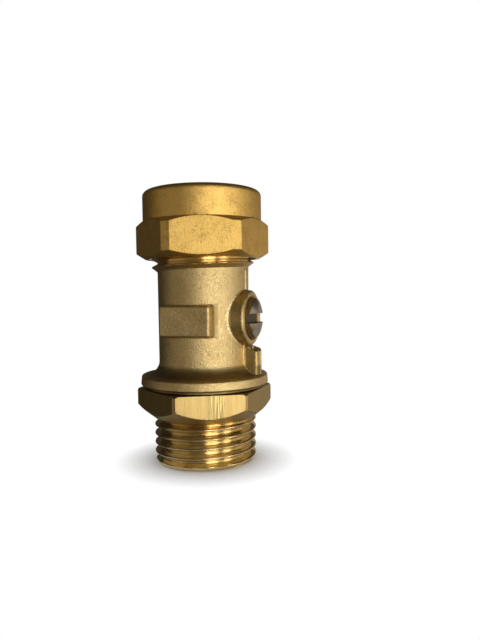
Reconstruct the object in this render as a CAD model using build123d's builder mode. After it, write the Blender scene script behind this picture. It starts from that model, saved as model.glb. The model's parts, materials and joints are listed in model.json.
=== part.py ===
# Isolating valve with a 15 mm compression end, a 1/2 inch male thread end and a slotted ball spindle.
# Sizes are in millimetres. +Z runs along the pipe, from the male thread up to the compression nut.
# The origin is the middle of the male thread's end face, and the spindle points along +X.
# The ball is shut: its bore lies across the pipe, along Y, and so does the slot in the spindle.
import os
from math import cos, radians, sqrt, tan

from build123d import *

os.makedirs("parts", exist_ok=True)

# Pipe, and the pipe thread that both ends of the valve share
pipe_d = 15.0
pipe_clearance = 0.1
thread_d = 20.7
thread_clearance = 0.15

# Tail connector: male thread, hexagon and the spigot that closes the ball chamber
tail_thread_length = 9.2
tail_end_d = 19.5
tail_end_chamfer = 1.0
tail_bore_d = 14.0
tail_bore_depth = 14.2
tail_bore_lip = 0.4
tail_hex_af = 24.0
tail_hex_corner_d = 27.34
tail_hex_height = 5.8
tail_hex_angle = -61.8
tail_hex_cone_angle = 39.0
tail_hex_top_chamfer = 0.3
tail_spigot_d = 16.0
tail_spigot_length = 6.0
tail_spigot_chamfer = 0.4
drill_point_angle = 59.0

# Valve body: flange, neck and the threaded end for the nut
flange_gap = 0.74
flange_bottom_d = 25.84
flange_top_d = 25.5
flange_height = 1.9
flange_slope = 0.12
flange_edge = 0.25
neck_d = 18.42
flange_rim = 0.79
ball_above_flange = 13.26
neck_end_above_ball = 8.6
runout_height = 1.7
spigot_thread_length = 6.7
spigot_chamfer = 0.6
body_bore_clearance = 0.05
body_bore_relief = 0.2
pipe_stop_web = 2.2
mouth_depth = 1.9
mouth_angle = 30.0

# Boss round the spindle, stop lug under it, spanner pads and the forging's parting line
boss_d = 11.0
boss_reach = 10.5
boss_edge = 0.5
boss_countersink = 0.4
lug_width = 3.2
lug_reach = 11.9
lug_edge = 0.45
lug_into_boss = 0.1
pad_reach = 9.8
pad_width = 9.9
pad_height = 6.0
pad_drop = 0.3
pad_draft = 12.0
pad_edge = 0.5
parting_width = 1.0
parting_proud = 0.2

# Ball and seats
ball_d = 13.0
ball_bore_d = 8.5
ball_bore_edge = 0.3
waterway_d = 9.2
chamber_clearance = 0.2
seat_clearance = 0.05
seat_back = 5.6
seat_front = 3.2

# Spindle, its seal and its thrust washer
spindle_d = 7.84
spindle_clearance = 0.08
spindle_flange_d = 9.2
spindle_flange_thickness = 1.0
spindle_flange_clearance = 0.1
spindle_above_ball = 0.35
spindle_edge_reach = 11.3
spindle_dome = 1.0
spindle_slot_width = 1.8
spindle_slot_depth = 1.75
spindle_slot_overrun = 0.5
tang_width = 2.4
tang_length = 5.6
tang_clearance = 0.05
ball_slot_floor = 4.9
washer_thickness = 0.6
washer_clearance = 0.05
ring_section_d = 0.96
ring_gap = 0.03
ring_groove_width = 1.2
ring_groove_start = 0.35

# Olive
olive_length = 7.0
olive_end_d = 15.9
olive_middle_d = 17.3
olive_slack = 0.12
olive_edge = 0.15

# Compression nut
nut_height = 13.89
nut_af = 24.0
nut_corner_d = 26.72
nut_hex_angle = -67.6
nut_collar_d = 23.92
nut_collar_height = 5.29
nut_collar_edge = 0.8
nut_shoulder_angle = 45.0
nut_lower_cone_d = 21.8
nut_lower_cone_height = 1.7
nut_hole_d = 15.5
nut_hole_chamfer = 0.4
nut_top_wall = 1.93
nut_cone_mouth_d = 18.4
nut_thread_chamfer = 0.4

# Radii that several pieces share
thread_r = thread_d / 2
neck_r = neck_d / 2
neck_fillet = flange_top_d / 2 - flange_rim - neck_r
ball_r = ball_d / 2
socket_r = pipe_d / 2 + pipe_clearance
waterway_r = waterway_d / 2
chamber_r = ball_r + chamber_clearance
spindle_r = spindle_d / 2
spindle_hole_r = spindle_r + spindle_clearance
mouth_slope = tan(radians(mouth_angle))

# Heights along the pipe
tail_hex_top = tail_thread_length + tail_hex_height
flange_z = tail_hex_top + flange_gap
flange_top = flange_z + flange_height
ball_z = flange_z + ball_above_flange
neck_end = ball_z + neck_end_above_ball
spigot_start = neck_end + runout_height
spigot_top = spigot_start + spigot_thread_length
chamber_top = ball_z + seat_back
chamber_bottom = ball_z - seat_back
tail_spigot_top = tail_hex_top + tail_spigot_length
pipe_stop = chamber_top + pipe_stop_web
mouth_start = spigot_top - mouth_depth
olive_bottom = mouth_start + (olive_end_d / 2 + olive_slack - socket_r) / mouth_slope
olive_top = olive_bottom + olive_length
nut_cone_top = olive_top + (olive_end_d / 2 + olive_slack - nut_hole_d / 2) / mouth_slope
nut_top = nut_cone_top + nut_top_wall
nut_bottom = nut_top - nut_height

# Distances along the spindle, from the pipe's axis
spindle_inner = ball_r + spindle_above_ball
washer_inner = spindle_inner + spindle_flange_thickness
washer_outer = washer_inner + washer_thickness
recess_end = washer_outer + washer_clearance
groove_start = recess_end + ring_groove_start
groove_end = groove_start + ring_groove_width
spindle_apex = spindle_edge_reach + spindle_dome
ring_middle_r = spindle_hole_r - ring_gap - ring_section_d / 2
groove_r = ring_middle_r - ring_section_d / 2

# Planes through the ball's centre: along the spindle, square to it, and square to the ball's bore
ball_centre = (0, 0, ball_z)
spindle_axis = Axis(ball_centre, (1, 0, 0))
spindle_side = Plane(ball_centre, x_dir=(1, 0, 0), z_dir=(0, -1, 0))
spindle_end = Plane(ball_centre, x_dir=(0, 1, 0), z_dir=(1, 0, 0))


def hexagon_prism(across_flats, turn, bottom, height):
    """Hexagonal prism about the pipe's axis, with one flat facing the angle given by turn."""
    with BuildPart() as prism:
        with BuildSketch(Plane.XY.offset(bottom)):
            RegularPolygon(across_flats / 2, 6, major_radius=False, rotation=turn + 30)
        extrude(amount=height)
    return prism.part


def ball_seat(side):
    """Seat ring above (side 1) or below (side -1) the ball, with a round face that fits the ball."""
    cup_r = ball_r + seat_clearance
    inner_rise = sqrt(cup_r**2 - waterway_r**2)
    outer_reach = sqrt(cup_r**2 - seat_front**2)
    middle_rise = (inner_rise + seat_front) / 2
    middle_reach = sqrt(cup_r**2 - middle_rise**2)
    seat_r = chamber_r - body_bore_clearance
    with BuildPart() as seat:
        with BuildSketch(Plane.XZ):
            with BuildLine():
                ThreePointArc(
                    (waterway_r, ball_z + side * inner_rise),
                    (middle_reach, ball_z + side * middle_rise),
                    (outer_reach, ball_z + side * seat_front),
                )
                Polyline(
                    (outer_reach, ball_z + side * seat_front),
                    (seat_r, ball_z + side * seat_front),
                    (seat_r, ball_z + side * seat_back),
                    (waterway_r, ball_z + side * seat_back),
                    (waterway_r, ball_z + side * inner_rise),
                )
            make_face()
        revolve(axis=Axis.Z)
    return seat.part


def stop_lug(top):
    """Lug under the boss, for a lever's stop, with its outer edges rounded; it starts inside the flange."""
    lug_base = flange_z + flange_height / 2
    with BuildPart() as lug:
        with BuildSketch(Plane.XY.offset(lug_base)):
            with Locations((lug_reach / 2, 0)):
                Rectangle(lug_reach, lug_width)
        extrude(amount=top - lug_base)
        outer_face = lug.faces().sort_by(Axis.X)[-1]
        fillet(outer_face.edges().filter_by(Axis.Z) + outer_face.edges().sort_by(Axis.Z)[-1:], lug_edge)
    return lug.part


def spindle_boss():
    """Round boss for the spindle, with its rim rounded."""
    with BuildPart() as boss:
        with BuildSketch(spindle_end):
            Circle(boss_d / 2)
        extrude(amount=boss_reach)
        fillet(boss.faces().sort_by(Axis.X)[-1].edges(), boss_edge)
    return boss.part


def spanner_pad(side):
    """Flat pad with drafted sides on the +Y (side 1) or -Y (side -1) face of the neck."""
    face_plane = Plane((0, side * pad_reach, ball_z - pad_drop), x_dir=(1, 0, 0), z_dir=(0, -side, 0))
    with BuildPart() as pad:
        with BuildSketch(face_plane):
            RectangleRounded(pad_width, pad_height, 2 * pad_edge)
        extrude(amount=pad_reach / 2, taper=-pad_draft)
        fillet(pad.faces().sort_by(Axis.Y)[0 if side < 0 else -1].edges(), pad_edge)
    return pad.part


# Tail connector
tail_prism = hexagon_prism(tail_hex_af, tail_hex_angle, tail_thread_length, tail_hex_height)
tail_cone_rise = (tail_hex_corner_d / 2 - thread_r) * tan(radians(tail_hex_cone_angle))
drill_point = (tail_bore_d / 2 - waterway_r) / tan(radians(drill_point_angle))
nose_r = chamber_r - body_bore_clearance

with BuildPart() as tail_connector:
    add(tail_prism)
    # The hexagon is turned down to a cone below and its top corners are broken
    with BuildSketch(Plane.XZ):
        with BuildLine():
            Polyline(
                (0, tail_thread_length),
                (thread_r, tail_thread_length),
                (tail_hex_corner_d / 2, tail_thread_length + tail_cone_rise),
                (tail_hex_corner_d / 2, tail_hex_top - tail_hex_top_chamfer),
                (tail_hex_corner_d / 2 - tail_hex_top_chamfer, tail_hex_top),
                (0, tail_hex_top),
                close=True,
            )
        make_face()
    revolve(axis=Axis.Z, mode=Mode.INTERSECT)
    # Male thread below, threaded spigot and plain nose above
    with BuildSketch(Plane.XZ):
        with BuildLine():
            Polyline(
                (0, 0),
                (tail_end_d / 2, 0),
                (thread_r, tail_end_chamfer),
                (thread_r, tail_thread_length),
                (tail_spigot_d / 2, tail_thread_length),
                (tail_spigot_d / 2, tail_spigot_top - tail_spigot_chamfer),
                (tail_spigot_d / 2 - tail_spigot_chamfer, tail_spigot_top),
                (nose_r, tail_spigot_top),
                (nose_r, chamber_bottom),
                (0, chamber_bottom),
                close=True,
            )
        make_face()
    revolve(axis=Axis.Z)
    # Bore, drilled from the thread's end, and the narrower waterway up to the ball
    with BuildSketch(Plane.XZ):
        with BuildLine():
            Polyline(
                (0, 0),
                (tail_bore_d / 2 + tail_bore_lip, 0),
                (tail_bore_d / 2, tail_bore_lip),
                (tail_bore_d / 2, tail_bore_depth),
                (waterway_r, tail_bore_depth + drill_point),
                (waterway_r, chamber_bottom),
                (0, chamber_bottom),
                close=True,
            )
        make_face()
    revolve(axis=Axis.Z, mode=Mode.SUBTRACT)

# Valve body
fillet_start_r = neck_r + neck_fillet
fillet_start_z = flange_top + flange_slope
fillet_end_z = fillet_start_z + neck_fillet
fillet_reach = neck_fillet * (1 - cos(radians(45)))
lug_top = ball_z - boss_d / 2 + lug_into_boss
boss_top = ball_z + boss_d / 2

lug = stop_lug(lug_top)
boss = spindle_boss()
pads = [spanner_pad(-1), spanner_pad(1)]

with BuildPart() as valve_body:
    # Flange, neck and threaded end, turned about the pipe's axis
    with BuildSketch(Plane.XZ):
        with BuildLine():
            Polyline(
                (neck_r, fillet_end_z),
                (neck_r, neck_end),
            )
            TangentArc((neck_r, neck_end), (thread_r, spigot_start), tangent=(0, 1))
            Polyline(
                (thread_r, spigot_start),
                (thread_r, spigot_top - spigot_chamfer),
                (thread_r - spigot_chamfer, spigot_top),
                (0, spigot_top),
                (0, flange_z),
                (flange_bottom_d / 2, flange_z),
                (flange_top_d / 2, flange_top),
                (fillet_start_r, fillet_start_z),
            )
            ThreePointArc(
                (fillet_start_r, fillet_start_z),
                (neck_r + fillet_reach, fillet_start_z + fillet_reach),
                (neck_r, fillet_end_z),
            )
        make_face()
    revolve(axis=Axis.Z)
    fillet(valve_body.edges().filter_by(GeomType.CIRCLE).sort_by(SortBy.RADIUS)[-2:], flange_edge)
    # Stop lug, boss and both pads
    add(lug)
    add(boss)
    add(pads)
    # Parting line: full height behind, and from the boss up to the thread in front
    for reach, start in ((-1, fillet_end_z), (1, boss_top - boss_edge)):
        with BuildSketch(Plane.XY.offset(start)):
            with Locations((reach * (neck_r + parting_proud) / 2, 0)):
                Rectangle(neck_r + parting_proud, parting_width)
        extrude(amount=neck_end + parting_proud - start)
    # Waterway: threaded bore, ball chamber, web, pipe socket and the cone that the olive seats in
    with BuildSketch(Plane.XZ):
        with BuildLine():
            Polyline(
                (0, flange_z),
                (tail_spigot_d / 2 + body_bore_clearance, flange_z),
                (tail_spigot_d / 2 + body_bore_clearance, tail_spigot_top + body_bore_relief),
                (chamber_r, tail_spigot_top + body_bore_relief),
                (chamber_r, chamber_top),
                (waterway_r, chamber_top),
                (waterway_r, pipe_stop),
                (socket_r, pipe_stop),
                (socket_r, mouth_start),
                (socket_r + mouth_depth * mouth_slope, spigot_top),
                (0, spigot_top),
                close=True,
            )
        make_face()
    revolve(axis=Axis.Z, mode=Mode.SUBTRACT)
    # Spindle hole, its countersink, and the recess behind it for the spindle's flange
    with BuildSketch(spindle_side):
        with BuildLine():
            Polyline(
                (0, 0),
                (0, spindle_flange_d / 2 + spindle_flange_clearance),
                (recess_end, spindle_flange_d / 2 + spindle_flange_clearance),
                (recess_end, spindle_hole_r),
                (boss_reach - boss_countersink, spindle_hole_r),
                (boss_reach, spindle_hole_r + boss_countersink),
                (boss_reach, 0),
                close=True,
            )
        make_face()
    revolve(axis=spindle_axis, mode=Mode.SUBTRACT)

# Ball, with its bore across the pipe and the slot that the spindle's tang drives
ball_slot_width = tang_width + 2 * tang_clearance

with BuildPart(Plane.XY.offset(ball_z)) as ball:
    Sphere(ball_r)
    with BuildSketch(spindle_side):
        Circle(ball_bore_d / 2)
    extrude(amount=ball_r, both=True, mode=Mode.SUBTRACT)
    chamfer(
        ball.edges().group_by(Axis.Y)[0] + ball.edges().group_by(Axis.Y)[-1],
        ball_bore_edge,
    )
    with BuildSketch(spindle_end.offset(ball_slot_floor)):
        Rectangle(ball_slot_width, ball_d)
    extrude(amount=ball_r, mode=Mode.SUBTRACT)

# Spindle, turned about +X, with a screwdriver slot in its domed head and a tang at its inner end
with BuildPart() as stem:
    with BuildSketch(spindle_side):
        with BuildLine():
            Polyline(
                (spindle_apex, 0),
                (spindle_inner, 0),
                (spindle_inner, spindle_flange_d / 2),
                (washer_inner, spindle_flange_d / 2),
                (washer_inner, spindle_r),
                (groove_start, spindle_r),
                (groove_start, groove_r),
                (groove_end, groove_r),
                (groove_end, spindle_r),
                (spindle_edge_reach, spindle_r),
            )
            TangentArc((spindle_apex, 0), (spindle_edge_reach, spindle_r), tangent=(0, 1))
        make_face()
    revolve(axis=spindle_axis)
    with BuildSketch(spindle_end.offset(ball_slot_floor + tang_clearance)):
        Rectangle(tang_width, tang_length)
    extrude(amount=spindle_inner - ball_slot_floor - tang_clearance)
    with BuildSketch(spindle_end.offset(spindle_apex - spindle_slot_depth)):
        Rectangle(spindle_d + 2 * spindle_slot_overrun, spindle_slot_width)
    extrude(amount=spindle_slot_depth, mode=Mode.SUBTRACT)

# Spindle seal in its groove
with BuildPart() as stem_seal:
    with BuildSketch(spindle_side):
        with Locations(((groove_start + groove_end) / 2, ring_middle_r)):
            Circle(ring_section_d / 2)
    revolve(axis=spindle_axis)

# Thrust washer between the spindle's flange and the end of its recess
with BuildPart() as thrust_washer:
    with BuildSketch(spindle_end.offset(washer_inner)):
        Circle(spindle_flange_d / 2)
        Circle(spindle_r + washer_clearance, mode=Mode.SUBTRACT)
    extrude(amount=washer_thickness)

# Seats
with BuildPart() as upper_ball_seat:
    add(ball_seat(1))

with BuildPart() as lower_ball_seat:
    add(ball_seat(-1))

# Olive: a barrel-shaped ring that the nut squeezes onto the pipe
with BuildPart() as olive:
    with BuildSketch(Plane.XZ):
        with BuildLine():
            ThreePointArc(
                (olive_end_d / 2, olive_bottom),
                (olive_middle_d / 2, (olive_bottom + olive_top) / 2),
                (olive_end_d / 2, olive_top),
            )
            Polyline(
                (olive_end_d / 2, olive_top),
                (socket_r, olive_top),
                (socket_r, olive_bottom),
                (olive_end_d / 2, olive_bottom),
            )
        make_face()
    revolve(axis=Axis.Z)
    fillet(olive.edges().filter_by(Plane.XY).group_by(SortBy.RADIUS)[-1], olive_edge)

# Compression nut
nut_prism = hexagon_prism(nut_af, nut_hex_angle, nut_bottom, nut_height - nut_collar_edge)
shoulder_top = nut_top - nut_collar_height
shoulder_drop = (nut_corner_d - nut_collar_d) / 2 * tan(radians(nut_shoulder_angle))
nut_cone_mouth = nut_cone_top - (nut_cone_mouth_d - nut_hole_d) / 2 / mouth_slope
nut_bore_r = thread_r + thread_clearance

with BuildPart() as compression_nut:
    add(nut_prism)
    # The hexagon runs into a round collar above and is turned down to a cone below
    with BuildSketch(Plane.XZ):
        with BuildLine():
            Polyline(
                (0, nut_bottom),
                (nut_lower_cone_d / 2, nut_bottom),
                (nut_corner_d / 2, nut_bottom + nut_lower_cone_height),
                (nut_corner_d / 2, shoulder_top - shoulder_drop),
                (nut_collar_d / 2, shoulder_top),
                (0, shoulder_top),
                close=True,
            )
        make_face()
    revolve(axis=Axis.Z, mode=Mode.INTERSECT)
    with BuildSketch(Plane.XY.offset(shoulder_top)):
        Circle(nut_collar_d / 2)
    extrude(amount=nut_collar_height)
    fillet(compression_nut.edges().sort_by(Axis.Z)[-1], nut_collar_edge)
    # Threaded bore, the cone that presses on the olive, and the hole for the pipe
    with BuildSketch(Plane.XZ):
        with BuildLine():
            Polyline(
                (0, nut_bottom),
                (nut_bore_r + nut_thread_chamfer, nut_bottom),
                (nut_bore_r, nut_bottom + nut_thread_chamfer),
                (nut_bore_r, nut_cone_mouth),
                (nut_cone_mouth_d / 2, nut_cone_mouth),
                (nut_hole_d / 2, nut_cone_top),
                (nut_hole_d / 2, nut_top - nut_hole_chamfer),
                (nut_hole_d / 2 + nut_hole_chamfer, nut_top),
                (0, nut_top),
                close=True,
            )
        make_face()
    revolve(axis=Axis.Z, mode=Mode.SUBTRACT)

tail_connector.part.label = "tail_connector"
export_step(tail_connector.part, "parts/tail_connector.step")
valve_body.part.label = "valve_body"
export_step(valve_body.part, "parts/valve_body.step")
ball.part.label = "ball"
export_step(ball.part, "parts/ball.step")
stem.part.label = "stem"
export_step(stem.part, "parts/stem.step")
stem_seal.part.label = "stem_seal"
export_step(stem_seal.part, "parts/stem_seal.step")
thrust_washer.part.label = "thrust_washer"
export_step(thrust_washer.part, "parts/thrust_washer.step")
upper_ball_seat.part.label = "upper_ball_seat"
export_step(upper_ball_seat.part, "parts/upper_ball_seat.step")
lower_ball_seat.part.label = "lower_ball_seat"
export_step(lower_ball_seat.part, "parts/lower_ball_seat.step")
olive.part.label = "olive"
export_step(olive.part, "parts/olive.step")
compression_nut.part.label = "compression_nut"
export_step(compression_nut.part, "parts/compression_nut.step")
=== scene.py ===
import json
import math

import bpy
import numpy as np
from mathutils import Matrix, Vector


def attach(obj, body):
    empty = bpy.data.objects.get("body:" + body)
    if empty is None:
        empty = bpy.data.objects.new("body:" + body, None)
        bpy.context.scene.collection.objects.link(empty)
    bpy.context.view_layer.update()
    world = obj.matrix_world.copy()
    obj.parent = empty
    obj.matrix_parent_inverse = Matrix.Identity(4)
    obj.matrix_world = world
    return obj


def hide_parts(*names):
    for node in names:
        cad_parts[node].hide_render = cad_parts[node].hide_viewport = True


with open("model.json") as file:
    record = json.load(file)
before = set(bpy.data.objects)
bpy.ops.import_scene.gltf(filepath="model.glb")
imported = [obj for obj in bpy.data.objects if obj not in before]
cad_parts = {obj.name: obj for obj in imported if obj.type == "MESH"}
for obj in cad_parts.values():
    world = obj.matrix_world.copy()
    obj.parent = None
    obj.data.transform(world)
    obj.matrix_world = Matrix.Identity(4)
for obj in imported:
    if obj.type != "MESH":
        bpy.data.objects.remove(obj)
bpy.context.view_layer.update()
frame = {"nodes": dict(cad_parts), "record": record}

millimetre = 0.001
mounts = {mount["name"]: mount for mount in frame["record"]["mounts"]}
ballHeight = mounts["driver_slot"]["pos_m"][2] / millimetre
threadRadius = mounts["outlet_thread"]["dims"]["r_mm"]
socketRadius = mounts["pipe_socket"]["dims"]["r_mm"]
threadPitch = 1.814                                # 1/2 inch pipe thread
firstCrest = 39.956                                # where the body's thread begins, on the +X side
barTurn = -61.8                                    # how the bar's hexagon is turned, degrees round from +X
waterwayRadius = 4.6
slotHalfWidth = 0.9                                # the spindle's slot
slotFloor = 10.55
print("stage: frame loaded")


# Node trees: values that can be written as sums, and one way to add any other node

class Wire:
    def __init__(self, graph, socket):
        self.graph = graph
        self.socket = socket

    def calc(self, operation, *others):
        sockets = dict(enumerate((self, *others)))
        return self.graph.wire(self.graph.add("ShaderNodeMath", {"operation": operation}, sockets))

    def __add__(self, other):
        return self.calc("ADD", other)

    def __radd__(self, other):
        return self.calc("ADD", other)

    def __sub__(self, other):
        return self.calc("SUBTRACT", other)

    def __rsub__(self, other):
        return self.calc("MULTIPLY", -1.0).calc("ADD", other)

    def __mul__(self, other):
        return self.calc("MULTIPLY", other)

    def __rmul__(self, other):
        return self.calc("MULTIPLY", other)

    def __truediv__(self, other):
        return self.calc("DIVIDE", other)

    def __neg__(self):
        return self.calc("MULTIPLY", -1.0)

    def __abs__(self):
        return self.calc("ABSOLUTE")

    def atLeast(self, other):
        return self.calc("MAXIMUM", other)

    def atMost(self, other):
        return self.calc("MINIMUM", other)

    def root(self):
        return self.calc("SQRT")

    def held(self, low=0.0, high=1.0):
        return self.atLeast(low).atMost(high)

    def within(self, low, high, soft):             # 1 between low and high, 0 outside, with soft ends
        rise = ((self - low) / soft + 0.5).held()
        fall = ((high - self) / soft + 0.5).held()
        return rise * fall


class Graph:
    def __init__(self, tree):
        self.tree = tree

    def add(self, kind, settings=None, sockets=None):
        node = self.tree.nodes.new(kind)
        for name, value in (settings or {}).items():
            setattr(node, name, value)
        for key, value in (sockets or {}).items():
            if isinstance(value, Wire):
                self.tree.links.new(value.socket, node.inputs[key])
            else:
                node.inputs[key].default_value = value
        return node

    def wire(self, node, key=0):
        return Wire(self, node.outputs[key])

    def blendColour(self, factor, first, second):
        mixer = self.add("ShaderNodeMix", {"data_type": "RGBA"}, {0: factor, 6: first, 7: second})
        return self.wire(mixer, 2)

    def axes(self, vector):
        parts = self.add("ShaderNodeSeparateXYZ", None, {0: vector})
        return [self.wire(parts, key) for key in range(3)]


def ring(first, second):                           # distance from where both are 0
    return (first * first + second * second).root()


def emptyTree(owner):                              # owner is a material or a world
    owner.use_nodes = True
    owner.node_tree.nodes.clear()
    return Graph(owner.node_tree)


# Finishes: each reads Object coordinates, turned into millimetres

def startFinish(name):
    material = bpy.data.materials.new(name)
    graph = emptyTree(material)
    place = graph.add("ShaderNodeTexCoord")
    scaled = graph.add("ShaderNodeVectorMath", {"operation": "SCALE"},
                       {0: graph.wire(place, "Object"), "Scale": 1 / millimetre})
    return material, graph, graph.wire(scaled)


def stretched(graph, point, scale):
    mapping = graph.add("ShaderNodeMapping", None, {"Vector": point, "Scale": scale})
    return graph.wire(mapping)


def noise(graph, point, scale, detail, rough=0.5):
    texture = graph.add("ShaderNodeTexNoise", None,
                        {"Vector": point, "Scale": scale, "Detail": detail, "Roughness": rough})
    return graph.wire(texture, "Fac")


def specks(graph, point, scale, size):             # round dots about size of a cell wide
    texture = graph.add("ShaderNodeTexVoronoi", None, {"Vector": point, "Scale": scale})
    distance = graph.wire(texture, "Distance")
    return ((size - distance) / size).atLeast(0.0)


def closeFinish(graph, colour, roughness, height, bumpDistance, metallic=1.0):
    bump = graph.add("ShaderNodeBump", None, {"Height": height, "Distance": bumpDistance})
    shader = graph.add("ShaderNodeBsdfPrincipled", None,
                       {"Base Color": colour, "Roughness": roughness, "Metallic": metallic,
                        "Normal": graph.wire(bump)})
    graph.add("ShaderNodeOutputMaterial", None, {"Surface": graph.wire(shader)})


forgedLook = {
    "bright": (0.85, 0.64, 0.30, 1),
    "dull": (0.62, 0.43, 0.17, 1),
    # stain is also the colour of the painted shade in the recess and the painted shadow under the flange
    "stain": (0.27, 0.18, 0.07, 1),
    "scale": (0.36, 0.26, 0.10, 1),                # painted shade: darker on the side walls of boss, lug and pads and in the fillet at the flange's foot
    "scaleShare": 0.88,
    "rubbed": (0.95, 0.76, 0.42, 1),               # paler colour of the turned thread, and a painted highlight on the line where the boss leaves the neck
    "rubbedShare": 0.6,
    "roughness": 0.33,
    "cloudScale": 0.22,                            # noise scales are per millimetre
    "grainScale": 3.3,
    "stainScale": 0.55,
    "pitScale": 1.1,
    "pitSize": 0.16,
    "bump": 0.00012,
    "recess": (-1.0, 4.2, 0.1),                    # zones: from, to and softness, in millimetres
    "recessReach": (8.0, 10.48, 0.05),
    "footHeight": (17.75, 19.7, 0.5),
    "footRadius": (9.0, 12.4, 0.3),
    "bossSide": (5.2, 5.75, 0.2),
    "bossReach": (7.9, 10.1, 0.3),
    "bossLine": (5.55, 5.95, 0.15),
    "bossLineReach": (7.0, 9.6, 0.2),
    "lugSide": (1.35, 1.8, 0.15),
    "lugReach": (9.6, 11.6, 0.2),
    "lugHeight": (17.6, 23.4, 0.2),
    "padSide": (5.35, 6.2, 0.15),
    "padReach": (7.0, 9.6, 0.2),
    "padHeight": (25.4, 32.0, 0.2),
    "underFlange": (15.0, 16.0, 0.2),
    "aboveFirstCrest": (0.0, 20.0, 0.1),
}


def forgedBrass():
    material, graph, point = startFinish("forgedBrass")
    look = forgedLook
    cloud = noise(graph, point, look["cloudScale"], 4.0, 0.6)
    grain = noise(graph, point, look["grainScale"], 3.0, 0.65)
    fine = noise(graph, point, look["grainScale"] * 2.6, 1.0)
    pits = specks(graph, point, look["pitScale"], look["pitSize"])
    x, y, z = graph.axes(point)
    fromSpindle = ring(y, z - ballHeight)
    foot = z.within(*look["footHeight"]) * ring(x, y).within(*look["footRadius"])
    bossSide = fromSpindle.within(*look["bossSide"]) * x.within(*look["bossReach"])
    lugSide = abs(y).within(*look["lugSide"]) * x.within(*look["lugReach"]) * z.within(*look["lugHeight"])
    padSide = abs(x).within(*look["padSide"]) * abs(y).within(*look["padReach"])
    padSide = padSide * z.within(*look["padHeight"])
    # painted shade on the side walls of boss, lug and pads and in the fillet at the flange's foot
    skin = foot.atLeast(bossSide).atLeast(lugSide).atLeast(padSide * 0.7) * look["scaleShare"]
    # painted shade: darker in the bore and countersink round the spindle head, which are also made rougher
    inRecess = fromSpindle.within(*look["recess"]) * x.within(*look["recessReach"])
    # painted highlight: a paler line where the boss leaves the neck
    bossLine = fromSpindle.within(*look["bossLine"]) * x.within(*look["bossLineReach"])
    crestHere = y.calc("ARCTAN2", x) * (threadPitch / 2 / math.pi)
    turned = (z - firstCrest - crestHere).within(*look["aboveFirstCrest"])
    dullness = ((cloud - 0.42) * 2.4 + (grain - 0.5) * 3.2).held() * (1 - turned * 0.7)
    colour = graph.blendColour(dullness, look["bright"], look["dull"])
    colour = graph.blendColour(skin, colour, look["scale"])
    stain = ((noise(graph, point, look["stainScale"], 5.0, 0.7) - 0.62) * 4.0).held(0.0, 0.4)
    # stains and pits are real; the recess round the spindle and the underside of the flange get painted shade
    stainsAndPaintedShade = (stain + pits * 0.25 + inRecess * 0.7 + z.within(*look["underFlange"]) * 0.85).atMost(0.9)
    colour = graph.blendColour(stainsAndPaintedShade, colour, look["stain"])
    # paler colour of the turned thread, and the painted highlight along the boss line
    colour = graph.blendColour(bossLine.atLeast(turned) * look["rubbedShare"], colour, look["rubbed"])
    roughness = look["roughness"] + (grain - 0.5) * 0.3 + dullness * 0.06
    roughness = roughness + inRecess * 0.15 - turned * 0.17 - bossLine * 0.1
    height = (grain * 0.8 + fine * 0.45 - pits * 0.4 + cloud * 0.8) * (1 - turned * 0.9)
    closeFinish(graph, colour, roughness, height, look["bump"])
    return material


nutLook = {
    "bright": (0.99, 0.645, 0.185, 1),
    "dull": (0.76, 0.46, 0.12, 1),
    "stain": (0.34, 0.19, 0.05, 1),
    "roughness": 0.38,
    "cloudScale": 0.4,
    "grainScale": 3.8,
    "pitScale": 0.6,
    "pitSize": 0.11,
    "bump": 0.00009,
    "rim": (30.0, 41.1, 0.3),                      # the lower rim is turned smooth
}


def nutBrass():
    material, graph, point = startFinish("nutBrass")
    look = nutLook
    cloud = noise(graph, point, look["cloudScale"], 5.0, 0.65)
    grain = noise(graph, point, look["grainScale"], 4.0, 0.6)
    fine = noise(graph, point, look["grainScale"] * 2.4, 1.0)
    pits = specks(graph, point, look["pitScale"], look["pitSize"])
    rim = graph.axes(point)[2].within(*look["rim"])
    dullness = ((cloud - 0.45) * 3.2 + (grain - 0.5) * 4.2).held()
    colour = graph.blendColour(dullness, look["bright"], look["dull"])
    colour = graph.blendColour((pits * 0.9).atMost(0.7), colour, look["stain"])
    roughness = look["roughness"] + (grain - 0.5) * 0.3 + dullness * 0.04 - rim * 0.2
    height = grain * 0.7 + fine * 0.4 + cloud * 0.6 - pits * 0.8
    closeFinish(graph, colour, roughness, height, look["bump"])
    return material


barLook = {
    "drawn": (0.51, 0.36, 0.14, 1),
    "freshDrawn": (0.69, 0.52, 0.20, 1),           # where the drawing marks are
    "turned": (0.82, 0.64, 0.33, 1),
    "dull": (0.48, 0.32, 0.10, 1),
    "groove": (0.24, 0.15, 0.05, 1),
    "roughness": 0.36,
    "turnedRoughness": 0.15,
    "cloudScale": 0.35,
    "grainScale": 2.2,
    "streakScale": 3.0,
    "markScale": 10.0,
    "turningScale": 9.0,
    "bump": 0.00003,
    "drawnHeight": (9.3, 15.4, 0.2),               # the hexagon is drawn bar, the rest is turned
    "marksAside": (-0.4, 2.6, 0.3),                # deep drawing marks on the face at barTurn
    "marksReach": 11.5,
}


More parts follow.
